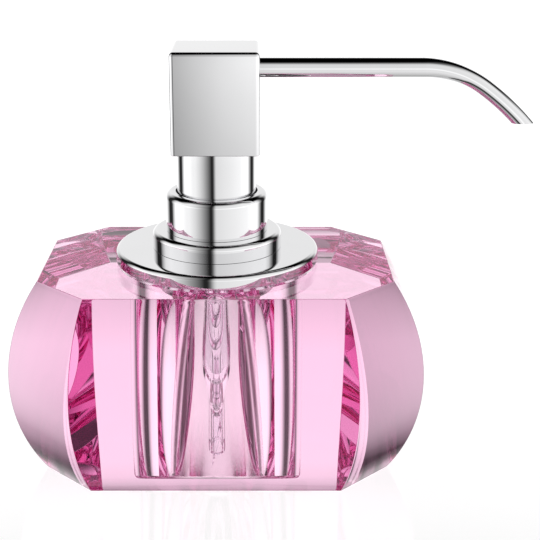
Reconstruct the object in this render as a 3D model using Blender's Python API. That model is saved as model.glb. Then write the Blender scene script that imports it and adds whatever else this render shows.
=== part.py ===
"""A countertop soap dispenser: an eight-sided cut crystal bottle with bulging faces, and a
chrome-plated press pump with a square head and a bent spout.

Metres, +Z up. The origin is the middle of the crystal's flat base, the spout points along +X
and the front of the bottle faces -Y. Each object is one physical piece.
"""

import math

import bmesh
import bpy
from mathutils import Matrix, Vector

MM = 0.001
GAP = 0.3 * MM  # left between pieces that touch
TURNED_SEGMENTS = 40  # round a visible turned piece
INNER_SEGMENTS = 24  # round a hidden one
PIPE_SIDES = 16
LINER_SIDES = 10
FILLET_STEPS = 4

# Crystal: a rectangle with 45 degree corners, the same at the base and the top
CRYSTAL_LENGTH = 97.5 * MM
CRYSTAL_DEPTH = 65.4 * MM
CRYSTAL_HEIGHT = 56.6 * MM
CORNER_CUT = 14.1 * MM
FACE_BULGE = 8.85 * MM  # how far each side face swells out at mid height
BULGE_LEVELS = 24
BORE_RADIUS = 24.0 * MM
BORE_FLOOR = 5.5 * MM
BORE_FILLET = 1.0 * MM
BORE_SEGMENTS = 48

# Flange, with the threaded neck under it
FLANGE_RADIUS = 28.75 * MM
FLANGE_BASE = CRYSTAL_HEIGHT + 0.8 * MM
FLANGE_TOP = 61.3 * MM
FLANGE_FILLET = 1.3 * MM
NECK_RADIUS = 15.8 * MM
NECK_BORE = 13.8 * MM
NECK_BOTTOM = 49.5 * MM
SEAL_RING_INNER = 24.6 * MM
SEAL_RING_OUTER = 28.2 * MM

# Closure ring, which screws into the neck, and the guide collar on top of it
CLOSURE_RADIUS = 18.28 * MM
CLOSURE_TOP = 66.3 * MM
CLOSURE_FILLET = 1.5 * MM
CLOSURE_POCKET = 13.2 * MM
POCKET_FLOOR = 62.4 * MM
SPIGOT_BORE = 11.9 * MM
SPIGOT_BOTTOM = 52.5 * MM
O_RING_RADIUS = 15.5 * MM
O_RING_SECTION = 0.55 * MM
COLLAR_RADIUS = 14.35 * MM
COLLAR_TOP = 77.4 * MM
COLLAR_FILLET = 1.8 * MM
COLLAR_LIP = 1.2 * MM
COLLAR_BORE = 13.2 * MM
BUSH_HEIGHT = 3.0 * MM

# Head, spout and the sleeve that slides in the collar
SLEEVE_RADIUS = 11.08 * MM
SLEEVE_BOTTOM = 73.8 * MM
SLEEVE_BORE = 10.1 * MM
SLEEVE_NECK_BORE = 9.2 * MM
SLEEVE_SPIGOT = 10.2 * MM
SLEEVE_SPIGOT_HEIGHT = 4.2 * MM
HEAD_WIDTH = 24.0 * MM
HEAD_BOTTOM = 89.8 * MM
HEAD_TOP = 117.6 * MM
HEAD_EDGE = 1.1 * MM
HEAD_BORE = 7.3 * MM
HEAD_BORE_TOP = 114.4 * MM
SPOUT_RADIUS = 2.76 * MM
SPOUT_TIP_RADIUS = 2.4 * MM
SPOUT_BORE = 1.95 * MM
SPOUT_AXIS = 111.73 * MM
SPOUT_ROOT = 8.2 * MM  # from the head's axis to the buried end of the spout
SPOUT_STRAIGHT = 56.7 * MM  # from the head's axis to the start of the bend
BEND_RADIUS = 28.9 * MM
BEND_ANGLE = math.radians(36)
RUNOUT_RADIUS = 73.8 * MM  # the slacker bend that follows it
RUNOUT_END = math.radians(54)
SPOUT_CUT = 96.57 * MM  # height of the level cut at the spout's end
LINER_RADIUS = 1.55 * MM
LINER_BORE = 1.0 * MM
LINER_ROOT = 4.0 * MM

# Pump engine
HOUSING_RADIUS = 8.6 * MM
HOUSING_BORE = 7.0 * MM
HOUSING_TOP = 71.0 * MM
HOUSING_FLANGE_RADIUS = 12.9 * MM
HOUSING_FLANGE = 63.3 * MM
HOUSING_FLANGE_HEIGHT = 0.8 * MM
HOUSING_STEP = 19.9 * MM  # the inner ledge that the cage lies on
HOUSING_TIP = 8.5 * MM
HOUSING_TIP_RADIUS = 4.3 * MM
VALVE_BORE = 2.7 * MM
SEAT_BORE = 1.5 * MM
SEAT_HEIGHT = 13.6 * MM
BALL_RADIUS = 2.2 * MM
BALL_HEIGHT = 15.7 * MM
OUTLET_BALL_RADIUS = 2.0 * MM
DIP_RADIUS = 2.45 * MM
DIP_BORE = 1.7 * MM
DIP_BOTTOM = 6.5 * MM
DIP_TOP = 13.0 * MM
CHAPLET_RADIUS = 9.7 * MM
CHAPLET_BOTTOM = 64.4 * MM
CHAPLET_TOP = 73.0 * MM
STEM_RADIUS = 3.2 * MM
STEM_BORE = 1.6 * MM
STEM_BOTTOM = 48.0 * MM
STEM_TOP = 97.5 * MM
STEM_FOOT = 5.9 * MM
STEM_COLLAR = 4.6 * MM
PISTON_RADIUS = HOUSING_BORE - GAP
PISTON_BOTTOM = 49.3 * MM
PISTON_TOP = 55.0 * MM
SPRING_RADIUS = 5.2 * MM
SPRING_WIRE = 0.45 * MM
SPRING_TURNS = 10
SPRING_STEPS = 12  # along one turn
CORE_RADIUS = 8.8 * MM
CORE_BOTTOM = 83.0 * MM
CORE_SHOULDER = 94.0 * MM
CORE_TOP = 114.0 * MM
CORE_CHANNEL = 1.85 * MM


def clear_scene():
    for obj in list(bpy.data.objects):
        bpy.data.objects.remove(obj, do_unlink=True)


def material(name, colour, roughness, metallic=0.0, transmission=0.0):
    made = bpy.data.materials.new(name)
    made.use_nodes = True
    shader = made.node_tree.nodes["Principled BSDF"]
    shader.inputs["Base Color"].default_value = (*colour, 1.0)
    shader.inputs["Roughness"].default_value = roughness
    shader.inputs["Metallic"].default_value = metallic
    shader.inputs["Transmission Weight"].default_value = transmission
    return made


def finish_object(name, bm, finish, sharp=30):
    """Turns a bmesh into a smooth-shaded object in the scene."""
    bmesh.ops.recalc_face_normals(bm, faces=bm.faces)
    mesh = bpy.data.meshes.new(name)
    bm.to_mesh(mesh)
    bm.free()
    mesh.shade_smooth()
    mesh.set_sharp_from_angle(angle=math.radians(sharp))
    mesh.materials.append(finish)
    obj = bpy.data.objects.new(name, mesh)
    bpy.context.collection.objects.link(obj)
    return obj


def arc(centre, radius, start, end, steps=FILLET_STEPS):
    """Points of an arc in the (radius, height) plane, its angles in degrees from +R to +Z."""
    points = []
    for step in range(steps + 1):
        angle = math.radians(start + (end - start) * step / steps)
        points.append((centre[0] + radius * math.cos(angle), centre[1] + radius * math.sin(angle)))
    return points


def rounded_shoulder(radius, top, fillet):
    """The rounded top edge of a disc, from its side to its top."""
    return arc((radius - fillet, top - fillet), fillet, 0, 90)


def turned(name, outline, finish, segments=INNER_SEGMENTS):
    """A solid turned round Z from a closed outline of (radius, height) points."""
    bm = bmesh.new()
    corners = [bm.verts.new((radius, 0, height)) for radius, height in outline]
    edges = [bm.edges.new(pair) for pair in zip(corners, corners[1:] + corners[:1])]
    bmesh.ops.spin(
        bm, geom=corners + edges, axis=(0, 0, 1), cent=(0, 0, 0),
        angle=math.tau, steps=segments, use_merge=True,
    )
    bmesh.ops.remove_doubles(bm, verts=bm.verts, dist=1e-7)
    return finish_object(name, bm, finish)


def cylinder(name, radius, start, end, segments=INNER_SEGMENTS):
    """A plain cylinder from one point to another, used as a cutter."""
    start, end = Vector(start), Vector(end)
    turn = (end - start).to_track_quat("Z", "Y").to_matrix().to_4x4()
    place = Matrix.Translation((start + end) / 2) @ turn
    bm = bmesh.new()
    bmesh.ops.create_cone(
        bm, cap_ends=True, segments=segments, radius1=radius, radius2=radius,
        depth=(end - start).length, matrix=place,
    )
    return cutter(name, bm)


def cutter(name, bm):
    obj = finish_object(name, bm, bpy.data.materials[0])
    obj.hide_render = True
    obj.display_type = "WIRE"
    return obj


def cut(obj, tool):
    boolean = obj.modifiers.new(tool.name, "BOOLEAN")
    boolean.operation = "DIFFERENCE"
    boolean.solver = "EXACT"
    boolean.object = tool


def swept(bm, stations, sides):
    """Bridges circles set across a path. A station is (centre, tangent, radius)."""
    loops = []
    for centre, tangent, radius in stations:
        place = Matrix.Translation(centre) @ tangent.to_track_quat("Z", "Y").to_matrix().to_4x4()
        ring = bmesh.ops.create_circle(bm, segments=sides, radius=radius, matrix=place)["verts"]
        loops.append(ring)
    for first, second in zip(loops, loops[1:]):
        bridge(bm, first, second)
    return loops


def bridge(bm, first, second):
    """Joins two rings whose points run in step."""
    count = len(first)
    for index in range(count):
        after = (index + 1) % count
        bm.faces.new((first[index], first[after], second[after], second[index]))


# Crystal


def bulge_radius():
    half = CRYSTAL_HEIGHT / 2
    return (half**2 + FACE_BULGE**2) / (2 * FACE_BULGE)


def octagon(bulge):
    """Corners of the plan with every side moved out by the bulge."""
    along = CRYSTAL_LENGTH / 2
    across = CRYSTAL_DEPTH / 2
    spread = bulge * math.tan(math.radians(22.5))
    x_short, x_long = along - CORNER_CUT + spread, along + bulge
    y_short, y_long = across - CORNER_CUT + spread, across + bulge
    quarter = [(x_short, y_long), (x_long, y_short)]
    right = [(x, -y) for x, y in quarter] + [(x, y) for x, y in reversed(quarter)]
    return right + [(-x, -y) for x, y in right]


def crystal_body(finish):
    radius = bulge_radius()
    half = CRYSTAL_HEIGHT / 2
    lean = math.asin(half / radius)
    bm = bmesh.new()
    rings = []
    for level in range(BULGE_LEVELS + 1):
        angle = lean * (2 * level / BULGE_LEVELS - 1)
        height = half + radius * math.sin(angle)
        bulge = radius * (math.cos(angle) - math.cos(lean))
        rings.append([bm.verts.new((x, y, height)) for x, y in octagon(bulge)])
    for lower, upper in zip(rings, rings[1:]):
        bridge(bm, lower, upper)
    bm.faces.new(reversed(rings[0]))
    bm.faces.new(rings[-1])
    body = finish_object("crystal_body", bm, finish, sharp=20)
    outline = [(0.0, BORE_FLOOR)]
    outline += arc((BORE_RADIUS - BORE_FILLET, BORE_FLOOR + BORE_FILLET), BORE_FILLET, -90, 0)
    above = CRYSTAL_HEIGHT + 5 * MM
    outline += [(BORE_RADIUS, above), (0.0, above)]
    bore = turned("bore_cutter", outline, finish, BORE_SEGMENTS)
    bore.hide_render = True
    bore.display_type = "WIRE"
    cut(body, bore)


# Flange and closure


def neck_flange(finish):
    under_edge = 0.4 * MM
    outline = [(FLANGE_RADIUS - under_edge, FLANGE_BASE), (FLANGE_RADIUS, FLANGE_BASE + under_edge)]
    outline += rounded_shoulder(FLANGE_RADIUS, FLANGE_TOP, FLANGE_FILLET)
    outline += [(NECK_BORE, FLANGE_TOP), (NECK_BORE, NECK_BOTTOM)]
    outline += [(NECK_RADIUS, NECK_BOTTOM), (NECK_RADIUS, FLANGE_BASE)]
    turned("neck_flange", outline, finish, TURNED_SEGMENTS)


def flange_gasket(finish):
    bottom, top = CRYSTAL_HEIGHT + 0.25 * MM, FLANGE_BASE - 0.25 * MM
    outline = [(SEAL_RING_INNER, bottom), (SEAL_RING_OUTER, bottom)]
    outline += [(SEAL_RING_OUTER, top), (SEAL_RING_INNER, top)]
    turned("flange_gasket", outline, finish, TURNED_SEGMENTS)


def closure_ring(finish):
    bottom = FLANGE_TOP + GAP
    thread = NECK_BORE - GAP
    groove = 1.1 * MM
    groove_top = bottom + 1.3 * MM
    outline = [(CLOSURE_RADIUS, bottom)]
    outline += rounded_shoulder(CLOSURE_RADIUS, CLOSURE_TOP, CLOSURE_FILLET)
    outline += [(CLOSURE_POCKET, CLOSURE_TOP), (CLOSURE_POCKET, POCKET_FLOOR)]
    outline += [(SPIGOT_BORE, POCKET_FLOOR), (SPIGOT_BORE, SPIGOT_BOTTOM), (thread, SPIGOT_BOTTOM)]
    outline += [(thread, bottom), (O_RING_RADIUS - groove, bottom)]
    outline += [(O_RING_RADIUS - groove, groove_top), (O_RING_RADIUS + groove, groove_top)]
    outline += [(O_RING_RADIUS + groove, bottom)]
    turned("closure_ring", outline, finish, TURNED_SEGMENTS)


def closure_seal(finish):
    centre = (O_RING_RADIUS, FLANGE_TOP + GAP + O_RING_SECTION)
    turned("closure_seal", arc(centre, O_RING_SECTION, 0, 360, 6)[:-1], finish)


def guide_collar(finish):
    spigot = CLOSURE_POCKET - GAP
    inner = SLEEVE_RADIUS + 0.4 * MM
    seat = CLOSURE_TOP + GAP
    web = 1.0 * MM
    outline = [(spigot, CHAPLET_BOTTOM), (spigot, seat), (COLLAR_RADIUS, seat)]
    outline += rounded_shoulder(COLLAR_RADIUS, COLLAR_TOP, COLLAR_FILLET)
    outline += [(inner, COLLAR_TOP), (inner, COLLAR_TOP - COLLAR_LIP)]
    outline += [(COLLAR_BORE, COLLAR_TOP - COLLAR_LIP), (COLLAR_BORE, seat + web)]
    outline += [(inner, seat + web), (inner, CHAPLET_BOTTOM)]
    turned("guide_collar", outline, finish, TURNED_SEGMENTS)


def guide_bush(finish):
    top = COLLAR_TOP - COLLAR_LIP - GAP
    inner, outer = SLEEVE_RADIUS + GAP, COLLAR_BORE - GAP
    outline = [(inner, top - BUSH_HEIGHT), (outer, top - BUSH_HEIGHT), (outer, top), (inner, top)]
    turned("guide_bush", outline, finish, TURNED_SEGMENTS)


# Pump engine


def pump_housing(finish):
    wall_cone = SEAT_HEIGHT + VALVE_BORE - SEAT_BORE
    socket = DIP_RADIUS + GAP
    flange_top = HOUSING_FLANGE + HOUSING_FLANGE_HEIGHT
    outline = [(HOUSING_TIP_RADIUS, HOUSING_TIP), (HOUSING_TIP_RADIUS, HOUSING_STEP - 5 * MM)]
    outline += [(HOUSING_RADIUS, HOUSING_STEP), (HOUSING_RADIUS, HOUSING_FLANGE)]
    outline += [(HOUSING_FLANGE_RADIUS, HOUSING_FLANGE), (HOUSING_FLANGE_RADIUS, flange_top)]
    outline += [(HOUSING_RADIUS, flange_top), (HOUSING_RADIUS, HOUSING_TOP), (HOUSING_BORE, HOUSING_TOP)]
    outline += [(HOUSING_BORE, HOUSING_STEP), (VALVE_BORE, HOUSING_STEP), (VALVE_BORE, wall_cone)]
    outline += [(SEAT_BORE, SEAT_HEIGHT), (SEAT_BORE, DIP_TOP + GAP), (socket, DIP_TOP + GAP)]
    outline += [(socket, HOUSING_TIP)]
    turned("pump_housing", outline, finish)


def housing_gasket(finish):
    bottom, top = POCKET_FLOOR + 0.25 * MM, HOUSING_FLANGE - 0.25 * MM
    inner, outer = SPIGOT_BORE + 0.1 * MM, HOUSING_FLANGE_RADIUS
    turned("housing_gasket", [(inner, bottom), (outer, bottom), (outer, top), (inner, top)], finish)


def chaplet(finish):
    inner = HOUSING_RADIUS + GAP
    plate = HOUSING_TOP + GAP
    hole = STEM_RADIUS + GAP
    outline = [(inner, CHAPLET_BOTTOM), (CHAPLET_RADIUS, CHAPLET_BOTTOM), (CHAPLET_RADIUS, CHAPLET_TOP)]
    outline += [(hole, CHAPLET_TOP), (hole, plate), (inner, plate)]
    turned("chaplet", outline, finish)


def ball_cage(finish):
    bottom = HOUSING_STEP + GAP
    top = bottom + 1.1 * MM
    outer = HOUSING_BORE - GAP
    turned("ball_cage", [(SEAT_BORE, bottom), (outer, bottom), (outer, top), (SEAT_BORE, top)], finish)


def ball(name, radius, height, finish):
    bm = bmesh.new()
    bmesh.ops.create_uvsphere(
        bm, u_segments=16, v_segments=10, radius=radius, matrix=Matrix.Translation((0, 0, height))
    )
    finish_object(name, bm, finish, sharp=60)


def dip_tube(finish):
    """Cut on the slant at its foot, so that it can't seal against the floor of the bore."""
    bm = bmesh.new()
    foot = []
    head = []
    for radius in (DIP_RADIUS, DIP_BORE):
        low = Matrix.Translation((0, 0, DIP_BOTTOM))
        high = Matrix.Translation((0, 0, DIP_TOP))
        foot.append(bmesh.ops.create_circle(bm, segments=20, radius=radius, matrix=low)["verts"])
        head.append(bmesh.ops.create_circle(bm, segments=20, radius=radius, matrix=high)["verts"])
        for vert in foot[-1]:
            vert.co.z += vert.co.x + DIP_RADIUS
    bridge(bm, foot[0], head[0])
    bridge(bm, head[1], foot[1])
    bridge(bm, head[0], head[1])
    bridge(bm, foot[1], foot[0])
    finish_object("dip_tube", bm, finish)


def spring(finish):
    """Round wire wound in a helix between the cage and the foot of the stem."""
    bottom = HOUSING_STEP + GAP + 1.1 * MM + GAP + SPRING_WIRE
    top = STEM_BOTTOM - GAP - SPRING_WIRE
    steps = SPRING_TURNS * SPRING_STEPS
    climb = (top - bottom) / (SPRING_TURNS * math.tau)
    stations = []
    for step in range(steps + 1):
        angle = math.tau * step / SPRING_STEPS
        around = Vector((math.cos(angle), math.sin(angle), 0))
        centre = around * SPRING_RADIUS + Vector((0, 0, bottom + climb * angle))
        tangent = Vector((-around.y * SPRING_RADIUS, around.x * SPRING_RADIUS, climb))
        stations.append((centre, tangent.normalized(), SPRING_WIRE))
    bm = bmesh.new()
    rings = swept(bm, stations, 6)
    bm.faces.new(rings[0])
    bm.faces.new(rings[-1])
    finish_object("return_spring", bm, finish, sharp=80)


def piston(finish):
    """A hub with an upper and a lower wiping lip."""
    inner = STEM_RADIUS + GAP
    waist = PISTON_RADIUS - 1.0 * MM
    lip = 1.5 * MM
    outline = [(inner, PISTON_BOTTOM), (waist - 0.6 * MM, PISTON_BOTTOM), (PISTON_RADIUS, PISTON_BOTTOM)]
    outline += [(PISTON_RADIUS, PISTON_BOTTOM + 0.5 * MM), (waist, PISTON_BOTTOM + lip)]
    outline += [(waist, PISTON_TOP - lip), (PISTON_RADIUS, PISTON_TOP - 0.5 * MM)]
    outline += [(PISTON_RADIUS, PISTON_TOP), (inner, PISTON_TOP)]
    turned("piston", outline, finish)


def stem(finish):
    foot_top = STEM_BOTTOM + 1.0 * MM
    collar = PISTON_TOP + GAP
    collar_top = collar + 1.2 * MM
    outline = [(STEM_BORE, STEM_BOTTOM), (STEM_FOOT, STEM_BOTTOM), (STEM_FOOT, foot_top)]
    outline += [(STEM_RADIUS, foot_top), (STEM_RADIUS, collar), (STEM_COLLAR, collar)]
    outline += [(STEM_COLLAR, collar_top), (STEM_RADIUS, collar_top)]
    outline += [(STEM_RADIUS, STEM_TOP), (STEM_BORE, STEM_TOP)]
    turned("stem", outline, finish)


def actuator_core(finish):
    """Carries the stem, holds the outlet ball and turns the flow into the spout."""
    socket = STEM_RADIUS + GAP
    chamber = OUTLET_BALL_RADIUS + 0.4 * MM
    chamber_top = STEM_TOP + 5.5 * MM
    upper = HEAD_BORE - GAP
    outline = [(socket, CORE_BOTTOM), (CORE_RADIUS, CORE_BOTTOM), (CORE_RADIUS, CORE_SHOULDER)]
    outline += [(upper, CORE_SHOULDER), (upper, CORE_TOP), (0.0, CORE_TOP)]
    outline += [(0.0, SPOUT_AXIS), (STEM_BORE, SPOUT_AXIS), (STEM_BORE, chamber_top)]
    outline += [(chamber, chamber_top), (chamber, STEM_TOP + GAP), (socket, STEM_TOP + GAP)]
    core = turned("actuator_core", outline, finish)
    tool = cylinder(
        "channel_cutter", CORE_CHANNEL, (0, 0, SPOUT_AXIS), (HEAD_WIDTH, 0, SPOUT_AXIS), 20
    )
    cut(core, tool)


# Head


def stem_sleeve(finish):
    shoulder = HEAD_BOTTOM - GAP
    step = SLEEVE_BOTTOM + 10.2 * MM
    top = shoulder + SLEEVE_SPIGOT_HEIGHT
    edge = 0.3 * MM
    outline = [(SLEEVE_BORE, SLEEVE_BOTTOM), (SLEEVE_RADIUS - edge, SLEEVE_BOTTOM)]
    outline += [(SLEEVE_RADIUS, SLEEVE_BOTTOM + edge), (SLEEVE_RADIUS, shoulder)]
    outline += [(SLEEVE_SPIGOT, shoulder), (SLEEVE_SPIGOT, top), (SLEEVE_NECK_BORE, top)]
    outline += [(SLEEVE_NECK_BORE, step), (SLEEVE_BORE, step)]
    turned("stem_sleeve", outline, finish, TURNED_SEGMENTS)


def head_block(finish):
    bm = bmesh.new()
    height = HEAD_TOP - HEAD_BOTTOM
    place = Matrix.Translation((0, 0, HEAD_BOTTOM + height / 2))
    place = place @ Matrix.Diagonal((HEAD_WIDTH, HEAD_WIDTH, height, 1))
    bmesh.ops.create_cube(bm, size=1, matrix=place)
    bmesh.ops.bevel(
        bm, geom=bm.edges[:], offset=HEAD_EDGE, offset_type="OFFSET", segments=3,
        profile=0.5, affect="EDGES", clamp_overlap=True,
    )
    block = finish_object("head_block", bm, finish, sharp=40)
    spigot = SLEEVE_SPIGOT + GAP
    ledge = HEAD_BOTTOM + SLEEVE_SPIGOT_HEIGHT + 0.4 * MM
    below = HEAD_BOTTOM - 5 * MM
    outline = [(0.0, below), (spigot, below), (spigot, ledge), (HEAD_BORE, ledge)]
    outline += [(HEAD_BORE, HEAD_BORE_TOP), (0.0, HEAD_BORE_TOP)]
    bore = turned("head_bore_cutter", outline, finish)
    bore.hide_render = True
    bore.display_type = "WIRE"
    cut(block, bore)
    side = cylinder(
        "spout_hole_cutter", SPOUT_RADIUS + GAP, (HEAD_BORE / 2, 0, SPOUT_AXIS),
        (HEAD_WIDTH, 0, SPOUT_AXIS), 24,
    )
    cut(block, side)


def spout_route(root, steps=12):
    """(point, tangent, share of the bend) along the spout's axis, past the level cut."""
    route = [(Vector((root, 0, SPOUT_AXIS)), Vector((1, 0, 0)), 0.0)]
    first = Vector((SPOUT_STRAIGHT, 0, SPOUT_AXIS - BEND_RADIUS))
    turn = Vector((math.sin(BEND_ANGLE), 0, math.cos(BEND_ANGLE)))
    second = first + turn * (BEND_RADIUS - RUNOUT_RADIUS)
    for centre, radius, start, end in (
        (first, BEND_RADIUS, 0.0, BEND_ANGLE),
        (second, RUNOUT_RADIUS, BEND_ANGLE, RUNOUT_END),
    ):
        for step in range(0 if start == 0 else 1, steps + 1):
            angle = start + (end - start) * step / steps
            out = Vector((math.sin(angle), 0, math.cos(angle)))
            route.append((centre + out * radius, Vector((out.z, 0, -out.x)), angle / RUNOUT_END))
    return route


def level_end(ring, tangent, height):
    """Slides a ring's points along the pipe until they lie in one level plane."""
    for vert in ring:
        vert.co += tangent * ((height - vert.co.z) / tangent.z)


def bent_pipe(name, root, wall, bore, end, sides, finish):
    """A pipe along the spout's route. The wall function gives its radius for a share of the bend."""
    bm = bmesh.new()
    route = [(point, tangent, share) for point, tangent, share in spout_route(root)]
    kept = [station for station in route if station[0].z > end + wall(1.0)]
    point, tangent, share = next(station for station in route if station[0].z <= end + wall(1.0))
    kept.append((point, tangent, share))
    outer = swept(bm, [(point, tangent, wall(share)) for point, tangent, share in kept], sides)
    inner = swept(bm, [(point, tangent, bore) for point, tangent, share in kept], sides)
    for ring in (outer[-1], inner[-1]):
        level_end(ring, tangent, end)
    bridge(bm, inner[0], outer[0])
    bridge(bm, outer[-1], inner[-1])
    finish_object(name, bm, finish, sharp=35)


def spout_tube(finish):
    def wall(share):
        return SPOUT_RADIUS + (SPOUT_TIP_RADIUS - SPOUT_RADIUS) * min(1.0, 2.2 * share)

    bent_pipe("spout_tube", SPOUT_ROOT, wall, SPOUT_BORE, SPOUT_CUT, PIPE_SIDES, finish)


def spout_liner(finish):
    def wall(share):
        return LINER_RADIUS

    bent_pipe("spout_liner", LINER_ROOT, wall, LINER_BORE, SPOUT_CUT + 1.0 * MM, LINER_SIDES, finish)


def build():
    clear_scene()
    glass = material("rose_crystal", (0.93, 0.55, 0.78), 0.02, transmission=0.9)
    chrome = material("polished_chrome", (0.86, 0.86, 0.87), 0.08, metallic=1.0)
    white = material("white_polymer", (0.9, 0.9, 0.88), 0.35)
    clear = material("clear_polymer", (0.9, 0.9, 0.92), 0.25, transmission=0.6)
    rubber = material("grey_rubber", (0.25, 0.25, 0.26), 0.7)
    steel = material("spring_steel", (0.72, 0.72, 0.72), 0.25, metallic=1.0)

    crystal_body(glass)
    flange_gasket(clear)
    neck_flange(chrome)
    closure_ring(chrome)
    closure_seal(rubber)
    guide_collar(chrome)
    guide_bush(white)
    pump_housing(clear)
    housing_gasket(rubber)
    chaplet(white)
    ball_cage(clear)
    ball("inlet_ball", BALL_RADIUS, BALL_HEIGHT, steel)
    dip_tube(clear)
    spring(steel)
    piston(clear)
    stem(clear)
    ball("outlet_ball", OUTLET_BALL_RADIUS, STEM_TOP + 1.5 * MM, steel)
    actuator_core(white)
    stem_sleeve(chrome)
    head_block(chrome)
    spout_tube(chrome)
    spout_liner(clear)


build()
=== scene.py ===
# Crystal pump dispenser: pink cut crystal, chrome pump with a square head and a bent spout
import math

import bmesh
import bpy
from mathutils import Matrix, Vector


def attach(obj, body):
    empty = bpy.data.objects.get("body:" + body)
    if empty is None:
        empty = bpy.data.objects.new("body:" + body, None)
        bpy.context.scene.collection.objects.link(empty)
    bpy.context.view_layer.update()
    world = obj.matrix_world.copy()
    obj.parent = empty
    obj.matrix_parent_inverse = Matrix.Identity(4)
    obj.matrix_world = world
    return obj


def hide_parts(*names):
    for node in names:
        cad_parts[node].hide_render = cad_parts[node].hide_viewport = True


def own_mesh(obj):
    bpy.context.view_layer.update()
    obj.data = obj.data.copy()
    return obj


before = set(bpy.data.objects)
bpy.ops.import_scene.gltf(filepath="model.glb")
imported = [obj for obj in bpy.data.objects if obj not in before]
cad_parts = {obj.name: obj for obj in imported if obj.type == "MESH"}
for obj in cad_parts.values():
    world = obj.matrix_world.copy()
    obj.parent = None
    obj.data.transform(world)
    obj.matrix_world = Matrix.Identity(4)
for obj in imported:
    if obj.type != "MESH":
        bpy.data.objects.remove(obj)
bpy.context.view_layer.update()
mm = 0.001
print("frame loaded")


# Materials

polish = {"base": 0.90, "tint": (1.0, 1.0, 1.01), "clouding": 0.985, "rough": 0.022, "smudge": 0.02, "wipe": 0.012}
crystalGlass = {
    "ior": 1.78, "rough": 0.0, "absorb": (0.90, 0.40, 0.71), "density": 9.0, "ripple": 0.004,
    "stain": (1.0, 0.87, 0.94), "sheen": (0.4, 0.2, 0.3),
}
mouldedWhite = {"colour": (0.88, 0.88, 0.86), "shade": (0.80, 0.80, 0.78), "rough": (0.32, 0.44), "grain": 0.03}
mouldedClear = {"colour": (0.99, 0.99, 1.0), "rough": (0.02, 0.12), "ior": 1.18, "transmission": 1.0}
sealRubber = {"colour": (0.055, 0.055, 0.06), "bloom": (0.11, 0.11, 0.115), "rough": (0.52, 0.74), "grain": 0.12}
drawnSteel = {"colour": (0.86, 0.86, 0.87), "rough": (0.2, 0.32)}


def newGroup(name, inputs, outputs):
    group = bpy.data.node_groups.new(name, "ShaderNodeTree")
    for label, value in inputs.items():
        socket = group.interface.new_socket(label, in_out="INPUT", socket_type="NodeSocketFloat")
        socket.default_value = value
    for label in outputs:
        group.interface.new_socket(label, in_out="OUTPUT", socket_type="NodeSocketFloat")
    return group, group.nodes.new("NodeGroupInput"), group.nodes.new("NodeGroupOutput")


def addNode(tree, kind, place=(0, 0), **values):
    node = tree.nodes.new(kind)
    node.location = place
    for label, value in values.items():
        setattr(node, label, value)
    return node


def handlingGroup():
    # cloudy finger film and fine wipe lines, both as 0 to 1 masks
    group, entry, leave = newGroup("handling", {"Film Scale": 60.0, "Wipe Scale": 900.0}, ("Film", "Wipe"))
    place = addNode(group, "ShaderNodeTexCoord", (-900, 0))
    film = addNode(group, "ShaderNodeTexNoise", (-600, 150))
    film.inputs["Detail"].default_value = 4.0
    film.inputs["Roughness"].default_value = 0.55
    filmRange = addNode(group, "ShaderNodeMapRange", (-350, 150), interpolation_type="SMOOTHSTEP")
    filmRange.inputs["From Min"].default_value = 0.42
    filmRange.inputs["From Max"].default_value = 0.72
    stretch = addNode(group, "ShaderNodeMapping", (-750, -150))
    stretch.inputs["Rotation"].default_value = (0.5, 0.3, 0.9)
    stretch.inputs["Scale"].default_value = (1.0, 0.06, 0.35)
    wipe = addNode(group, "ShaderNodeTexNoise", (-550, -150))
    wipe.inputs["Detail"].default_value = 2.0
    wipeRange = addNode(group, "ShaderNodeMapRange", (-300, -150))
    wipeRange.inputs["From Min"].default_value = 0.55
    wipeRange.inputs["From Max"].default_value = 0.8
    link = group.links.new
    link(place.outputs["Object"], film.inputs["Vector"])
    link(place.outputs["Object"], stretch.inputs["Vector"])
    link(stretch.outputs["Vector"], wipe.inputs["Vector"])
    link(entry.outputs["Film Scale"], film.inputs["Scale"])
    link(entry.outputs["Wipe Scale"], wipe.inputs["Scale"])
    link(film.outputs["Fac"], filmRange.inputs["Value"])
    link(wipe.outputs["Fac"], wipeRange.inputs["Value"])
    link(filmRange.outputs["Result"], leave.inputs["Film"])
    link(wipeRange.outputs["Result"], leave.inputs["Wipe"])
    return group


def grainGroup():
    # fine moulding or rubber grain with a slow mottle over it
    group, entry, leave = newGroup("mouldGrain", {"Grain Scale": 2500.0, "Mottle Scale": 120.0}, ("Grain", "Mottle"))
    place = addNode(group, "ShaderNodeTexCoord", (-700, 0))
    grain = addNode(group, "ShaderNodeTexNoise", (-400, 120))
    grain.inputs["Detail"].default_value = 2.0
    mottle = addNode(group, "ShaderNodeTexNoise", (-400, -120))
    mottle.inputs["Detail"].default_value = 3.0
    link = group.links.new
    for texture, label in ((grain, "Grain"), (mottle, "Mottle")):
        link(place.outputs["Object"], texture.inputs["Vector"])
        link(entry.outputs[label + " Scale"], texture.inputs["Scale"])
        link(texture.outputs["Fac"], leave.inputs[label])
    return group


handling = handlingGroup()
mouldGrain = grainGroup()


def newMaterial(name, **values):
    made = bpy.data.materials.new(name)
    made.use_nodes = True
    shader = made.node_tree.nodes["Principled BSDF"]
    for label, value in values.items():
        shader.inputs[label.replace("_", " ")].default_value = value
    return made, made.node_tree, shader


def placeGroup(tree, group, **values):
    node = addNode(tree, "ShaderNodeGroup", (-900, 0))
    node.node_tree = group
    for label, value in values.items():
        node.inputs[label.replace("_", " ")].default_value = value
    return node


def spread(tree, source, low, high, place=(-500, 0)):
    # a 0 to 1 mask turned into a range of values
    node = addNode(tree, "ShaderNodeMapRange", place)
    node.inputs["To Min"].default_value = low
    node.inputs["To Max"].default_value = high
    tree.links.new(source, node.inputs["Value"])
    return node.outputs["Result"]


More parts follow.
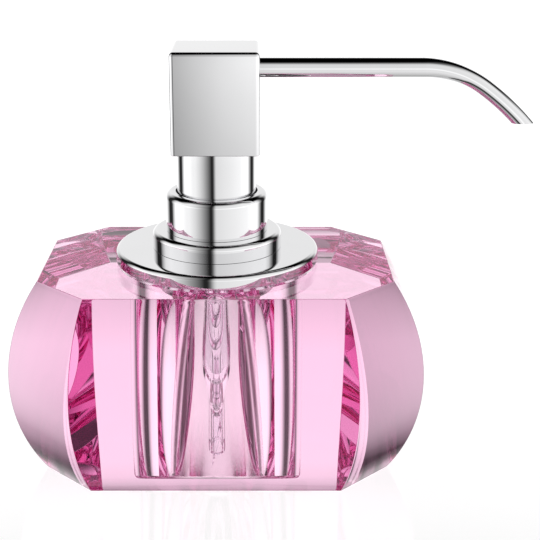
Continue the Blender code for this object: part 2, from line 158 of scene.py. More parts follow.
def bump(tree, shader, height, strength, distance):
    node = addNode(tree, "ShaderNodeBump", (-250, -350))
    node.inputs["Strength"].default_value = strength
    node.inputs["Distance"].default_value = distance
    tree.links.new(height, node.inputs["Height"])
    tree.links.new(node.outputs["Normal"], shader.inputs["Normal"])


def mixColour(tree, mask, low, high, place=(-500, 200)):
    node = addNode(tree, "ShaderNodeMix", place, data_type="RGBA")
    node.inputs[6].default_value = (*low, 1)
    node.inputs[7].default_value = (*high, 1)
    tree.links.new(mask, node.inputs[0])
    return node.outputs[2]


def makeChrome():
    base = [polish["base"] * part for part in polish["tint"]]
    made, tree, shader = newMaterial("polishedChrome", Metallic=1.0)
    touch = placeGroup(tree, handling, Film_Scale=55.0, Wipe_Scale=1100.0)
    clouded = [part * polish["clouding"] for part in base]
    tree.links.new(mixColour(tree, touch.outputs["Film"], base, clouded), shader.inputs["Base Color"])
    film = spread(tree, touch.outputs["Film"], polish["rough"], polish["rough"] + polish["smudge"])
    wipe = spread(tree, touch.outputs["Wipe"], 0.0, polish["wipe"], (-500, -200))
    total = addNode(tree, "ShaderNodeMath", (-250, -60), operation="ADD")
    tree.links.new(film, total.inputs[0])
    tree.links.new(wipe, total.inputs[1])
    tree.links.new(total.outputs[0], shader.inputs["Roughness"])
    return made


def makeCrystal():
    made, tree, shader = newMaterial(
        "roseCrystal", Base_Color=(*crystalGlass["stain"], 1), Specular_Tint=(*crystalGlass["sheen"], 1),
        Roughness=crystalGlass["rough"], IOR=crystalGlass["ior"], Transmission_Weight=1.0,
    )
    depth = addNode(tree, "ShaderNodeVolumeAbsorption", (0, -500))
    depth.inputs["Color"].default_value = (*crystalGlass["absorb"], 1)
    depth.inputs["Density"].default_value = crystalGlass["density"]
    tree.links.new(depth.outputs["Volume"], tree.nodes["Material Output"].inputs["Volume"])
    touch = placeGroup(tree, handling, Film_Scale=35.0, Wipe_Scale=700.0)
    bump(tree, shader, touch.outputs["Film"], crystalGlass["ripple"], 0.0002)
    return made


def makeMouldedWhite():
    made, tree, shader = newMaterial("mouldedWhite", IOR=1.5)
    grain = placeGroup(tree, mouldGrain, Grain_Scale=3000.0, Mottle_Scale=150.0)
    colour = mixColour(tree, grain.outputs["Mottle"], mouldedWhite["colour"], mouldedWhite["shade"])
    tree.links.new(colour, shader.inputs["Base Color"])
    rough = spread(tree, grain.outputs["Grain"], *mouldedWhite["rough"])
    tree.links.new(rough, shader.inputs["Roughness"])
    bump(tree, shader, grain.outputs["Grain"], mouldedWhite["grain"], 0.0001)
    return made


def makeMouldedClear():
    made, tree, shader = newMaterial(
        "mouldedClear", Base_Color=(*mouldedClear["colour"], 1), IOR=mouldedClear["ior"],
        Transmission_Weight=mouldedClear["transmission"],
    )
    grain = placeGroup(tree, mouldGrain, Grain_Scale=1800.0, Mottle_Scale=90.0)
    rough = spread(tree, grain.outputs["Mottle"], *mouldedClear["rough"])
    tree.links.new(rough, shader.inputs["Roughness"])
    return made


def makeSealRubber():
    made, tree, shader = newMaterial("sealRubber", IOR=1.52)
    grain = placeGroup(tree, mouldGrain, Grain_Scale=2600.0, Mottle_Scale=200.0)
    colour = mixColour(tree, grain.outputs["Mottle"], sealRubber["colour"], sealRubber["bloom"])
    tree.links.new(colour, shader.inputs["Base Color"])
    rough = spread(tree, grain.outputs["Grain"], *sealRubber["rough"])
    tree.links.new(rough, shader.inputs["Roughness"])
    bump(tree, shader, grain.outputs["Grain"], sealRubber["grain"], 0.0001)
    return made


def makeDrawnSteel():
    made, tree, shader = newMaterial("drawnSteel", Metallic=1.0, Base_Color=(*drawnSteel["colour"], 1))
    touch = placeGroup(tree, handling, Film_Scale=200.0, Wipe_Scale=1500.0)
    rough = spread(tree, touch.outputs["Wipe"], *drawnSteel["rough"])
    tree.links.new(rough, shader.inputs["Roughness"])
    return made


chrome, crystalPink, whitePolymer = makeChrome(), makeCrystal(), makeMouldedWhite()
clearPolymer, rubber, steel = makeMouldedClear(), makeSealRubber(), makeDrawnSteel()
print("materials made")


# Shared shaping steps


def placePiece(name, bm, finish, body, node, sharp=32, weighted=True):
    # closes a bmesh into a shaded piece that stands for its CAD node
    bmesh.ops.remove_doubles(bm, verts=bm.verts, dist=1e-7)
    bmesh.ops.recalc_face_normals(bm, faces=bm.faces)
    mesh = bpy.data.meshes.new(name)
    bm.to_mesh(mesh)
    bm.free()
    mesh.shade_smooth()
    mesh.set_sharp_from_angle(angle=math.radians(sharp))
    mesh.materials.append(finish)
    piece = bpy.data.objects.new(name, mesh)
    bpy.context.scene.collection.objects.link(piece)
    if weighted:
        normals = piece.modifiers.new("evenFaces", "WEIGHTED_NORMAL")
        normals.keep_sharp = True
        normals.weight = 60
    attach(piece, body)
    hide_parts(node)
    return piece


def turnOutline(bm, outline, segments, closed=True, steps=6):
    # outline: (radius, height, rounding) in millimetres, spun round Z
    corners = [bm.verts.new((radius * mm, 0, height * mm)) for radius, height, rounding in outline]
    edges = [bm.edges.new(pair) for pair in zip(corners, corners[1:])]
    if closed:
        edges.append(bm.edges.new((corners[-1], corners[0])))
    for corner, (radius, height, rounding) in zip(corners, outline):
        if rounding:
            bmesh.ops.bevel(
                bm, geom=[corner], offset=rounding * mm, offset_type="OFFSET", affect="VERTICES",
                segments=max(2, int(steps * min(1.0, rounding))), profile=0.5, material=-1, clamp_overlap=True,
            )
    wire = [vert for vert in bm.verts if not vert.link_faces]
    wire += [edge for edge in bm.edges if not edge.link_faces]
    bmesh.ops.spin(
        bm, geom=wire, cent=(0, 0, 0), axis=(0, 0, 1), angle=math.tau, steps=segments, use_merge=True,
    )
    bmesh.ops.remove_doubles(bm, verts=bm.verts, dist=1e-7)


def turnPiece(settings, finish, body, node, segments=64):
    bm = bmesh.new()
    turnOutline(bm, settings["outline"], settings.get("segments", segments), steps=settings.get("steps", 6))
    return placePiece(settings["name"], bm, finish, body, node)


def wireProfile(bm, wire, ring, height, sides):
    # a small upright circle, to be swept round Z
    place = Matrix.Translation((ring * mm, 0, height * mm)) @ Matrix.Rotation(math.pi / 2, 4, "X")
    bmesh.ops.create_circle(bm, segments=sides, radius=wire * mm, matrix=place)
    return bm.edges[:]


def windUp(bm, edges, turns, segments, climb):
    # sweeps a closed profile up a helix about Z and caps its end
    for step in range(turns * segments):
        made = bmesh.ops.extrude_edge_only(bm, edges=edges)["geom"]
        verts = [item for item in made if isinstance(item, bmesh.types.BMVert)]
        edges = [item for item in made if isinstance(item, bmesh.types.BMEdge) and all(v in verts for v in item.verts)]
        bmesh.ops.rotate(bm, verts=verts, cent=(0, 0, 0), matrix=Matrix.Rotation(math.tau / segments, 3, "Z"))
        bmesh.ops.translate(bm, verts=verts, vec=(0, 0, climb))
    bmesh.ops.contextual_create(bm, geom=edges)


# Crystal block

crystal = {
    "length": 97.5, "depth": 65.4, "height": 56.6, "cornerCut": 14.1, "bulge": 8.85, "levels": 96,
    "boreRadius": 24.0, "boreFloor": 5.5, "boreFillet": 1.0, "boreMouth": 0.15, "boreSegments": 160,
    "arris": 0.22, "arrisFrom": 15,
}


def makeCrystalBody():
    bm = bmesh.new()
    size = Matrix.Diagonal((crystal["length"] * mm, crystal["depth"] * mm, crystal["height"] * mm, 1))
    bmesh.ops.create_cube(bm, size=1, matrix=Matrix.Translation((0, 0, crystal["height"] * mm / 2)) @ size)
    upright = [edge for edge in bm.edges if abs(edge.verts[0].co.z - edge.verts[1].co.z) > mm]
    bmesh.ops.bevel(
        bm, geom=upright, offset=crystal["cornerCut"] * mm, offset_type="OFFSET", segments=1,
        profile=0.5, affect="EDGES", material=-1,
    )
    upright = [edge for edge in bm.edges if abs(edge.verts[0].co.z - edge.verts[1].co.z) > mm]
    bmesh.ops.subdivide_edges(bm, edges=upright, cuts=crystal["levels"] - 1, use_grid_fill=True)
    half = crystal["height"] * mm / 2
    depth = crystal["bulge"] * mm
    radius = (half**2 + depth**2) / (2 * depth)
    slant = math.tan(math.radians(22.5))
    for vert in bm.verts:  # every side face swells out along one arc
        out = math.sqrt(radius**2 - (vert.co.z - half) ** 2) - (radius - depth)
        longSide = abs(abs(vert.co.x) - crystal["length"] * mm / 2) < 1e-6
        vert.co.x += math.copysign(out if longSide else out * slant, vert.co.x)
        vert.co.y += math.copysign(out * slant if longSide else out, vert.co.y)
    arrises = [edge for edge in bm.edges if edge.calc_face_angle(0) > math.radians(crystal["arrisFrom"])]
    bmesh.ops.bevel(
        bm, geom=arrises, offset=crystal["arris"] * mm, offset_type="OFFSET", segments=2,
        profile=0.5, affect="EDGES", material=-1, clamp_overlap=True,
    )
    top = max(bm.faces, key=lambda face: face.calc_center_median().z + face.calc_area())
    rim = list(top.edges)
    bmesh.ops.delete(bm, geom=[top], context="FACES_ONLY")
    before = set(bm.edges)
    outline = [
        (crystal["boreRadius"] + crystal["boreMouth"], crystal["height"], 0),
        (crystal["boreRadius"], crystal["height"] - crystal["boreMouth"], 0),
        (crystal["boreRadius"], crystal["boreFloor"], crystal["boreFillet"]),
        (0, crystal["boreFloor"], 0),
    ]
    bore = bmesh.new()
    turnOutline(bore, outline, crystal["boreSegments"], closed=False, steps=8)
    boreMesh = bpy.data.meshes.new("boreShape")
    bore.to_mesh(boreMesh)
    bore.free()
    bm.from_mesh(boreMesh)
    bpy.data.meshes.remove(boreMesh)
    mouth = [edge for edge in bm.edges if edge not in before and edge.is_boundary]
    bmesh.ops.triangle_fill(bm, edges=[edge for edge in rim if edge.is_valid] + mouth, use_beauty=True)
    return placePiece("crystalBody", bm, crystalPink, "bottle", "crystal_body", sharp=18)


crystalBody = makeCrystalBody()
print("crystal cut")


# Collars, all turned

neckFlange = {
    "name": "neckFlange", "segments": 160, "steps": 9,
    "outline": [
        (28.45, 57.4, 0.2), (28.75, 57.7, 0.15), (28.75, 61.3, 1.3), (13.8, 61.3, 0.25), (13.8, 49.5, 0.2),
        (15.8, 49.5, 0.2), (15.8, 57.4, 0),
    ],
}
flangeGasket = {
    "name": "flangeGasket", "segments": 128,
    "outline": [(24.6, 56.62, 0), (28.2, 56.62, 0.1), (28.2, 57.38, 0.1), (24.6, 57.38, 0)],
}
closureRing = {
    "name": "closureRing", "segments": 160, "steps": 9,
    "outline": [
        (18.28, 61.34, 0.08), (18.28, 66.3, 1.5), (13.2, 66.3, 0), (13.2, 62.4, 0), (11.9, 62.4, 0),
        (11.9, 52.5, 0.2), (13.1, 52.5, 0.3), (13.1, 61.6, 0), (14.4, 61.6, 0), (14.4, 62.9, 0), (16.6, 62.9, 0),
        (16.6, 61.34, 0),
    ],
    "thread": {"root": 13.0, "crest": 13.5, "pitch": 1.5, "low": 53.2, "turns": 5, "width": 0.55, "flat": 0.35},
}
closureSeal = {"name": "closureSeal", "ring": 15.5, "wire": 0.55, "height": 62.15, "sides": 20, "segments": 96}
guideCollar = {
    "name": "guideCollar", "segments": 160, "steps": 9,
    "outline": [
        (12.9, 64.4, 0), (12.9, 66.34, 0), (14.35, 66.34, 0.08), (14.35, 77.4, 1.8), (11.48, 77.4, 0.25),
        (11.48, 76.2, 0), (13.2, 76.2, 0), (13.2, 67.6, 0), (11.48, 67.6, 0), (11.48, 64.4, 0),
    ],
}
guideBush = {
    "name": "guideBush", "segments": 96,
    "outline": [(11.38, 72.9, 0.15), (12.9, 72.9, 0.15), (12.9, 75.9, 0.15), (11.38, 75.9, 0.15)],
}


def addThread(bm, thread, segments=96):
    # a ridge wound up the spigot
    width, crest = thread["width"] * mm, thread["width"] * thread["flat"] * mm
    profile = [(thread["root"], -width), (thread["crest"], -crest), (thread["crest"], crest), (thread["root"], width)]
    verts = [bm.verts.new((radius * mm, 0, thread["low"] * mm + offset)) for radius, offset in profile]
    edges = [bm.edges.new(pair) for pair in zip(verts, verts[1:] + verts[:1])]
    bm.faces.new(verts)
    windUp(bm, edges, thread["turns"], segments, thread["pitch"] * mm / segments)


def makeClosureRing():
    bm = bmesh.new()
    turnOutline(bm, closureRing["outline"], closureRing["segments"], steps=closureRing["steps"])
    addThread(bm, closureRing["thread"])
    return placePiece(closureRing["name"], bm, chrome, "closure", "closure_ring")


def makeClosureSeal():
    bm = bmesh.new()
    wireProfile(bm, closureSeal["wire"], closureSeal["ring"], closureSeal["height"], closureSeal["sides"])
    bmesh.ops.spin(
        bm, geom=bm.verts[:] + bm.edges[:], cent=(0, 0, 0), axis=(0, 0, 1), angle=math.tau,
        steps=closureSeal["segments"], use_merge=True,
    )
    return placePiece(closureSeal["name"], bm, rubber, "closure", "closure_seal", sharp=80, weighted=False)


turnPiece(neckFlange, chrome, "bottle", "neck_flange")
turnPiece(flangeGasket, clearPolymer, "bottle", "flange_gasket")
makeClosureRing()
makeClosureSeal()
turnPiece(guideCollar, chrome, "closure", "guide_collar")
turnPiece(guideBush, whitePolymer, "closure", "guide_bush")
print("collars turned")


# Pump engine inside

pumpHousing = {
    "name": "pumpHousing", "segments": 96,
    "outline": [
        (4.3, 8.5, 0.2), (4.3, 14.9, 0.6), (8.6, 19.9, 1.2), (8.6, 63.3, 0), (12.9, 63.3, 0.1), (12.9, 64.1, 0.1),
        (8.6, 64.1, 0), (8.6, 71.0, 0.2), (7.0, 71.0, 0.2), (7.0, 19.9, 0.3), (2.7, 19.9, 0.2), (2.7, 14.8, 0),
        (1.5, 13.6, 0), (1.5, 13.3, 0), (2.75, 13.3, 0), (2.75, 8.5, 0.2),
    ],
}
housingGasket = {
    "name": "housingGasket", "segments": 96,
    "outline": [(12.0, 62.65, 0.08), (12.9, 62.65, 0.08), (12.9, 63.05, 0.08), (12.0, 63.05, 0.08)],
}
chaplet = {
    "name": "chaplet", "segments": 96,
    "outline": [
        (8.9, 64.4, 0.1), (9.7, 64.4, 0.15), (9.7, 73.0, 0.5), (3.5, 73.0, 0.3), (3.5, 71.3, 0), (8.9, 71.3, 0),
    ],
}
ballCage = {
    "name": "ballCage", "segments": 64,
    "outline": [(1.5, 20.2, 0.15), (6.7, 20.2, 0.15), (6.7, 21.3, 0.15), (1.5, 21.3, 0.15)],
}
piston = {
    "name": "piston", "segments": 96,
    "outline": [
        (3.5, 49.3, 0.1), (5.1, 49.3, 0.2), (6.6, 49.3, 0.1), (6.7, 49.8, 0.1), (5.7, 50.8, 0.3),
        (5.7, 53.5, 0.3), (6.7, 54.5, 0.1), (6.6, 55.0, 0.1), (3.5, 55.0, 0.1),
    ],
}
stem = {
    "name": "stem", "segments": 64,
    "outline": [
        (1.6, 48.0, 0.2), (5.9, 48.0, 0.2), (5.9, 49.0, 0.2), (3.2, 49.0, 0.2), (3.2, 55.3, 0), (4.6, 55.3, 0.15),
        (4.6, 56.5, 0.15), (3.2, 56.5, 0.2), (3.2, 97.5, 0.2), (1.6, 97.5, 0.2),
    ],
}
dipTube = {"name": "dipTube", "radius": 2.45, "bore": 1.7, "foot": 6.5, "top": 13.0, "segments": 48}
returnSpring = {
    "name": "returnSpring", "radius": 5.2, "wire": 0.45, "turns": 10, "low": 22.05, "high": 47.25,
    "steps": 36, "sides": 12, "press": 9.0,
}
inletBall = {"name": "inletBall", "radius": 2.2, "height": 15.7}
outletBall = {"name": "outletBall", "radius": 2.0, "height": 99.0}


def makeDipTube():
    # slanted at the foot, so that it can't seal against the floor
    bm = bmesh.new()
    outline = [(dipTube["radius"], dipTube["foot"], 0), (dipTube["radius"], dipTube["top"], 0.1)]
    outline += [(dipTube["bore"], dipTube["top"], 0.1), (dipTube["bore"], dipTube["foot"], 0)]
    turnOutline(bm, outline, dipTube["segments"])
    foot = dipTube["foot"] * mm
    for vert in bm.verts:
        if abs(vert.co.z - foot) < 0.01 * mm:
            vert.co.z += vert.co.x + dipTube["radius"] * mm
    return placePiece(dipTube["name"], bm, clearPolymer, "pump_core", "dip_tube")


def makeReturnSpring():
    bm = bmesh.new()
    turns, steps, wire = returnSpring["turns"], returnSpring["steps"], returnSpring["wire"]
    low, high = returnSpring["low"], returnSpring["high"]
    edges = wireProfile(bm, wire, returnSpring["radius"], low, returnSpring["sides"])
    bmesh.ops.contextual_create(bm, geom=edges)
    windUp(bm, edges, turns, steps, (high - low) * mm / (turns * steps))
    piece = placePiece(returnSpring["name"], bm, steel, "pump_core", "return_spring", sharp=70, weighted=False)
    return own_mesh(piece)


def makeBall(settings, body, node):
    bm = bmesh.new()
    place = Matrix.Translation((0, 0, settings["height"] * mm))
    bmesh.ops.create_uvsphere(bm, u_segments=40, v_segments=24, radius=settings["radius"] * mm, matrix=place)
    return placePiece(settings["name"], bm, steel, body, node, sharp=80, weighted=False)


turnPiece(pumpHousing, clearPolymer, "pump_core", "pump_housing")
turnPiece(housingGasket, rubber, "pump_core", "housing_gasket")
turnPiece(chaplet, whitePolymer, "pump_core", "chaplet")
turnPiece(ballCage, clearPolymer, "pump_core", "ball_cage")
turnPiece(piston, clearPolymer, "plunger", "piston")
turnPiece(stem, clearPolymer, "head", "stem")
makeDipTube()
makeReturnSpring()
makeBall(inletBall, "pump_core", "inlet_ball")
makeBall(outletBall, "head", "outlet_ball")
print("pump engine made")


# Head, sleeve and spout

stemSleeve = {
    "name": "stemSleeve", "segments": 160,
    "outline": [
        (10.1, 73.8, 0.1), (11.08, 73.8, 0.3), (11.08, 89.76, 0.05), (10.2, 89.76, 0), (10.2, 93.7, 0.2),
        (9.2, 93.7, 0.1), (9.2, 84.0, 0), (10.1, 84.0, 0),
    ],
}
headBlock = {
    "name": "headBlock", "width": 24.0, "low": 89.8, "high": 117.6, "edge": 1.1, "edgeSteps": 6, "lowEdge": 0.25,
    "spoutHole": (5, 20),
}
headBore = {
    "outline": [(0, 84.0, 0), (10.25, 84.0, 0), (10.25, 94.1, 0), (7.3, 94.1, 0), (7.3, 114.4, 0), (0, 114.4, 0)],
    "segments": 96,
}
spout = {
    "name": "spoutTube", "axis": 111.73, "root": 8.2, "straight": 56.7, "cut": 96.57,
    "bend": (28.9, 36.0), "runout": (73.8, 54.0), "steps": (6, 24, 18),
    "radius": 2.76, "tip": 2.4, "taper": 2.2, "bore": 1.95, "sides": 64, "holeFit": 0.04,
}
liner = {"name": "spoutLiner", "root": 4.0, "radius": 1.55, "bore": 1.0, "cut": 97.57, "sides": 32}
actuatorCore = {
    "name": "actuatorCore", "segments": 96,
    "outline": [
        (3.5, 83.0, 0.1), (8.8, 83.0, 0.3), (8.8, 94.0, 0.1), (7.0, 94.0, 0), (7.0, 114.0, 0.4), (0, 114.0, 0),
        (0, 111.73, 0), (1.6, 111.73, 0), (1.6, 103.0, 0), (2.4, 103.0, 0), (2.4, 97.8, 0), (3.5, 97.8, 0),
    ],
    "channel": 1.85, "channelEnd": 24,
}


def carve(piece, bm):
    # takes the bmesh's volume out of the piece, for good
    bmesh.ops.recalc_face_normals(bm, faces=bm.faces)
    mesh = bpy.data.meshes.new("carver")
    bm.to_mesh(mesh)
    bm.free()
    carver = bpy.data.objects.new("carver", mesh)
    bpy.context.scene.collection.objects.link(carver)
    boolean = piece.modifiers.new("carve", "BOOLEAN")
    boolean.operation = "DIFFERENCE"
    boolean.solver = "EXACT"
    boolean.object = carver
    while piece.modifiers[0] != boolean:
        bpy.context.view_layer.objects.active = piece
        piece.modifiers.move(piece.modifiers.find("carve"), 0)
    others = [modifier for modifier in piece.modifiers if modifier != boolean]
    for modifier in others:
        modifier.show_viewport = False
    bpy.context.view_layer.update()
    carved = bpy.data.meshes.new_from_object(piece.evaluated_get(bpy.context.evaluated_depsgraph_get()))
    for modifier in others:
        modifier.show_viewport = True
    piece.modifiers.remove(boolean)
    old = piece.data
    piece.data = carved
    bpy.data.meshes.remove(old)
    bpy.data.objects.remove(carver)
    bpy.data.meshes.remove(mesh)
    carved.shade_smooth()
    carved.set_sharp_from_angle(angle=math.radians(32))


def rodAlongX(radius, start, end, height, sides):
    bm = bmesh.new()
    middle = Matrix.Translation(((start + end) / 2 * mm, 0, height * mm)) @ Matrix.Rotation(math.pi / 2, 4, "Y")
    bmesh.ops.create_cone(
        bm, cap_ends=True, segments=sides, radius1=radius * mm, radius2=radius * mm, depth=(end - start) * mm,
        matrix=middle,
    )
    return bm


def makeHeadBlock():
    bm = bmesh.new()
    tall = headBlock["high"] - headBlock["low"]
    size = Matrix.Diagonal((headBlock["width"] * mm, headBlock["width"] * mm, tall * mm, 1))
    bmesh.ops.create_cube(bm, size=1, matrix=Matrix.Translation((0, 0, (headBlock["low"] + tall / 2) * mm)) @ size)
    under = [edge for edge in bm.edges if all(vert.co.z < (headBlock["low"] + 1) * mm for vert in edge.verts)]
    rest = [edge for edge in bm.edges if edge not in under]
    bmesh.ops.bevel(
        bm, geom=rest, offset=headBlock["edge"] * mm, offset_type="OFFSET", segments=headBlock["edgeSteps"],
        profile=0.5, affect="EDGES", material=-1, clamp_overlap=True,
    )
    low = headBlock["low"] * mm + 1e-6
    under = [edge for edge in bm.edges if all(vert.co.z < low for vert in edge.verts) and edge.calc_face_angle(0) > 0.5]
    bmesh.ops.bevel(
        bm, geom=under, offset=headBlock["lowEdge"] * mm, offset_type="OFFSET", segments=3,
        profile=0.5, affect="EDGES", material=-1, clamp_overlap=True,
    )
    piece = placePiece(headBlock["name"], bm, chrome, "head", "head_block")
    bore = bmesh.new()
    turnOutline(bore, headBore["outline"], headBore["segments"], closed=False)
    carve(piece, bore)
    carve(piece, rodAlongX(spout["radius"] + spout["holeFit"], *headBlock["spoutHole"], spout["axis"], spout["sides"]))
    return piece


def spoutPath(root):
    # (x, z, share of the bend) in millimetres, straight and then round two arcs
    straightSteps, bendSteps, runSteps = spout["steps"]
    bendRadius, bendEnd = spout["bend"]
    runRadius, runEnd = spout["runout"]
    reach = spout["straight"] - root
    path = [(root + reach * step / straightSteps, spout["axis"], 0.0) for step in range(straightSteps)]
    centreX, centreZ = spout["straight"], spout["axis"] - bendRadius

    def addArc(radius, degrees):
        angle = math.radians(degrees)
        path.append((centreX + radius * math.sin(angle), centreZ + radius * math.cos(angle), degrees / runEnd))

    for step in range(bendSteps + 1):
        addArc(bendRadius, bendEnd * step / bendSteps)
    turn = math.radians(bendEnd)
    centreX += (bendRadius - runRadius) * math.sin(turn)
    centreZ += (bendRadius - runRadius) * math.cos(turn)
    for step in range(1, runSteps + 1):
        addArc(runRadius, bendEnd + (runEnd - bendEnd) * step / runSteps)
    return path


def pipeSkin(bm, root, radiusAt, cut, sides):
    # a skin swept along the path and cut off level
    curve = bpy.data.curves.new("pipe", "CURVE")
    curve.dimensions = "3D"
    curve.twist_mode = "Z_UP"
    curve.bevel_depth = 1.0
    curve.bevel_resolution = sides // 4 - 1
    path = spoutPath(root)
    spline = curve.splines.new("POLY")
    spline.points.add(len(path) - 1)
    for point, (x, z, share) in zip(spline.points, path):
        point.co = (x * mm, 0, z * mm, 1)
        point.radius = radiusAt(share) * mm
    holder = bpy.data.objects.new("pipe", curve)
    bpy.context.scene.collection.objects.link(holder)
    bpy.context.view_layer.update()
    mesh = bpy.data.meshes.new_from_object(holder.evaluated_get(bpy.context.evaluated_depsgraph_get()))
    bpy.data.objects.remove(holder)
    bpy.data.curves.remove(curve)
    skin = bmesh.new()
    skin.from_mesh(mesh)
    bmesh.ops.remove_doubles(skin, verts=skin.verts, dist=1e-7)
    bmesh.ops.bisect_plane(
        skin, geom=skin.verts[:] + skin.edges[:] + skin.faces[:], plane_co=(0, 0, cut * mm), plane_no=(0, 0, -1),
        clear_outer=True,
    )
    skin.to_mesh(mesh)
    skin.free()
    bm.from_mesh(mesh)
    bpy.data.meshes.remove(mesh)


def makePipe(settings, finish, radiusAt, bore, node):
    bm = bmesh.new()
    pipeSkin(bm, settings["root"], radiusAt, settings["cut"], settings["sides"])
    pipeSkin(bm, settings["root"], lambda share: bore, settings["cut"], settings["sides"])
    openEdges = [edge for edge in bm.edges if edge.is_boundary]
    tipEdges = [edge for edge in openEdges if edge.verts[0].co.x > spout["straight"] * mm]
    rootEdges = [edge for edge in openEdges if edge.verts[0].co.x < spout["straight"] * mm]
    bmesh.ops.bridge_loops(bm, edges=tipEdges)
    bmesh.ops.bridge_loops(bm, edges=rootEdges)
    return placePiece(settings["name"], bm, finish, "head", node, sharp=35)


def spoutRadius(share):
    return spout["radius"] + (spout["tip"] - spout["radius"]) * min(1.0, spout["taper"] * share)


def makeActuatorCore():
    piece = turnPiece(actuatorCore, whitePolymer, "head", "actuator_core")
    carve(piece, rodAlongX(actuatorCore["channel"], 0, actuatorCore["channelEnd"], spout["axis"], 40))
    return piece


turnPiece(stemSleeve, chrome, "head", "stem_sleeve")
makeHeadBlock()
makeActuatorCore()
makePipe(spout, chrome, spoutRadius, spout["bore"], "spout_tube")
makePipe(liner, clearPolymer, lambda share: liner["radius"], liner["bore"], "spout_liner")
print("head and spout made")


# Floor, light and camera

studio = {
    "floorSize": 6.0, "floorDrop": 0.2, "floorGlow": 0.80, "floorColour": 0.5, "floorRough": 0.05, "floorGloss": 2.4,
    "level": 1.67, "backdrop": 1.0,
    # brightness all round at eye level: degrees from the front, positive to the right
    "round": [
        (-180, 0.72), (-165, 0.76), (-150, 0.64), (-139, 0.28), (-131, 0.01), (-118, 0.02), (-111, 0.42), (-103, 0.76),
        (-90, 0.84), (-62, 0.76), (-48, 0.6), (-37, 0.42), (-28, 0.25), (-20, 0.12), (-13, 0.015), (-9, 0.015),
        (-6, 0.12), (-4, 0.3), (-1.5, 0.5), (1, 0.62), (24, 0.68), (42, 0.72), (70, 0.8), (97, 0.82), (106, 0.64),
        (114, 0.25), (121, 0.015), (132, 0.01), (139, 0.28), (148, 0.66), (164, 0.72), (180, 0.72),
    ],
    # how that falls off with height, at the front and at the back: degrees above the horizon
    "frontHeight": [
        (-90, 0.5), (-72, 0.5), (-62, 0.62), (-34, 0.8), (-14, 0.78), (-9, 1.02), (-3, 0.95), (6, 0.74), (38, 0.72),
        (50, 0.52), (58, 0.18), (66, 0.06), (74, 0.0), (90, 0.0),
    ],
    "backHeight": [
        (-90, 0.5), (-72, 0.5), (-60, 0.7), (-40, 1.0), (-15, 1.0), (0, 0.85), (12, 0.72), (22, 0.72), (28, 0.43),
        (33, 0.04), (38, 0.0), (90, 0.0),
    ],
    # where the front gives way to the back, to either side
    "backFrom": [(0, 0.0), (72, 0.0), (104, 1.0), (180, 1.0)],
    # light that comes through glass: its least share all round, and its own fall-off with height
    "glassLeast": 0.06,
    "glassHeight": [
        (-90, 0.45), (-60, 0.55), (-42, 0.78), (-25, 0.98), (15, 1.0), (26, 0.92), (34, 0.68), (44, 0.4), (60, 0.25),
        (90, 0.2),
    ],
}
viewpoint = {
    "place": (9.716, -327.656, 166.058), "tilt": 18.9652, "lens": 80.179, "sensor": 36.0, "shift": (0.034930, 0.0),
}


def makeFloor():
    # a glossy light table: it glows by itself and mirrors the crystal faintly
    bm = bmesh.new()
    place = Matrix.Translation((0, 0, -studio["floorDrop"] * mm))
    bmesh.ops.create_grid(bm, x_segments=2, y_segments=2, size=studio["floorSize"] / 2, matrix=place)
    mesh = bpy.data.meshes.new("floor")
    bm.to_mesh(mesh)
    bm.free()
    floor = bpy.data.objects.new("floor", mesh)
    made, tree, shader = newMaterial("lightTable", Roughness=studio["floorRough"], IOR=studio["floorGloss"])
    shade, glow = studio["floorColour"], studio["floorGlow"]
    shader.inputs["Base Color"].default_value = (shade, shade, shade, 1)
    shader.inputs["Emission Color"].default_value = (glow, glow, glow, 1)
    shader.inputs["Emission Strength"].default_value = 1.0
    mesh.materials.append(made)
    bpy.context.scene.collection.objects.link(floor)
    floor.visible_glossy = False
    floor.visible_transmission = False


def fillRamp(ramp, stops, low, high):
    elements = ramp.color_ramp.elements
    for index, (angle, level) in enumerate(stops):
        share = (angle - low) / (high - low)
        if index < 2:
            element = elements[index]
            element.position = share
        else:
            element = elements.new(share)
        element.color = (level, level, level, 1)


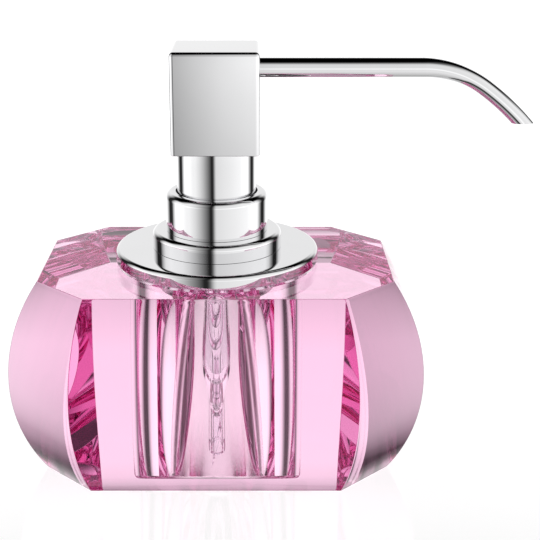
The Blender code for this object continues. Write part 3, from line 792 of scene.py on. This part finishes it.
def makeWorld():
    # a white tent with an open top, a dark gap at each back corner and a narrow one just left of the front
    world = bpy.data.worlds.new("studio")
    bpy.context.scene.world = world
    world.use_nodes = True
    tree = world.node_tree
    link = tree.links.new
    place = addNode(tree, "ShaderNodeTexCoord", (-1400, 0))
    parts = addNode(tree, "ShaderNodeSeparateXYZ", (-1200, 0))
    link(place.outputs["Generated"], parts.inputs[0])

    def calculate(operation, first, second=None, place=(-1000, 0)):
        node = addNode(tree, "ShaderNodeMath", place, operation=operation)
        for socket, value in zip(node.inputs, (first, second)):
            if isinstance(value, (int, float)):
                socket.default_value = value
            elif value is not None:
                link(value, socket)
        return node.outputs[0]

    def ramp(value, stops, low, high, place):
        node = addNode(tree, "ShaderNodeValToRGB", place)
        node.color_ramp.interpolation = "LINEAR"
        fillRamp(node, stops, low, high)
        span = addNode(tree, "ShaderNodeMapRange", (place[0] - 200, place[1]))
        span.inputs["From Min"].default_value = math.radians(low)
        span.inputs["From Max"].default_value = math.radians(high)
        link(value, span.inputs["Value"])
        link(span.outputs["Result"], node.inputs[0])
        return node.outputs["Color"]

    bearing = calculate("ARCTAN2", parts.outputs["X"], calculate("MULTIPLY", parts.outputs["Y"], -1.0))
    height = calculate("ARCSINE", parts.outputs["Z"])
    aside = calculate("ABSOLUTE", bearing)
    around = ramp(bearing, studio["round"], -180, 180, (-500, 300))
    front = ramp(height, studio["frontHeight"], -90, 90, (-500, 0))
    back = ramp(height, studio["backHeight"], -90, 90, (-500, -300))
    behind = ramp(aside, studio["backFrom"], 0, 180, (-500, -600))
    fall = addNode(tree, "ShaderNodeMix", (-150, -150))
    link(behind, fall.inputs["Factor"])
    link(front, fall.inputs["A"])
    link(back, fall.inputs["B"])
    sight = addNode(tree, "ShaderNodeLightPath", (0, 300))
    total = addNode(tree, "ShaderNodeMix", (50, -200))
    link(sight.outputs["Is Transmission Ray"], total.inputs["Factor"])
    link(calculate("MULTIPLY", around, fall.outputs["Result"]), total.inputs["A"])
    glassHeight = ramp(height, studio["glassHeight"], -90, 90, (-500, -900))
    aroundGlass = calculate("MAXIMUM", around, studio["glassLeast"])
    link(calculate("MULTIPLY", aroundGlass, glassHeight), total.inputs["B"])
    seen = addNode(tree, "ShaderNodeMix", (250, 100))
    link(sight.outputs["Is Camera Ray"], seen.inputs["Factor"])
    link(calculate("MULTIPLY", total.outputs["Result"], studio["level"], (150, 0)), seen.inputs["A"])
    seen.inputs["B"].default_value = studio["backdrop"]
    link(seen.outputs["Result"], tree.nodes["Background"].inputs["Strength"])
    tree.nodes["Background"].inputs["Color"].default_value = (1, 1, 1, 1)


def makeCamera():
    camera = bpy.data.cameras.new("camera")
    holder = bpy.data.objects.new("camera", camera)
    bpy.context.scene.collection.objects.link(holder)
    bpy.context.scene.camera = holder
    camera.lens, camera.sensor_width = viewpoint["lens"], viewpoint["sensor"]
    camera.shift_x, camera.shift_y = viewpoint["shift"]
    camera.clip_start = 0.01
    holder.location = Vector(viewpoint["place"]) * mm
    holder.rotation_euler = (math.radians(90 - viewpoint["tilt"]), 0, 0)


makeFloor()
makeWorld()
makeCamera()
bpy.context.scene.view_settings.view_transform = "Standard"
bpy.context.scene.cycles.max_bounces = 32
bpy.context.scene.cycles.transmission_bounces = 32
bpy.context.scene.cycles.glossy_bounces = 32
print("floor, light and camera set")
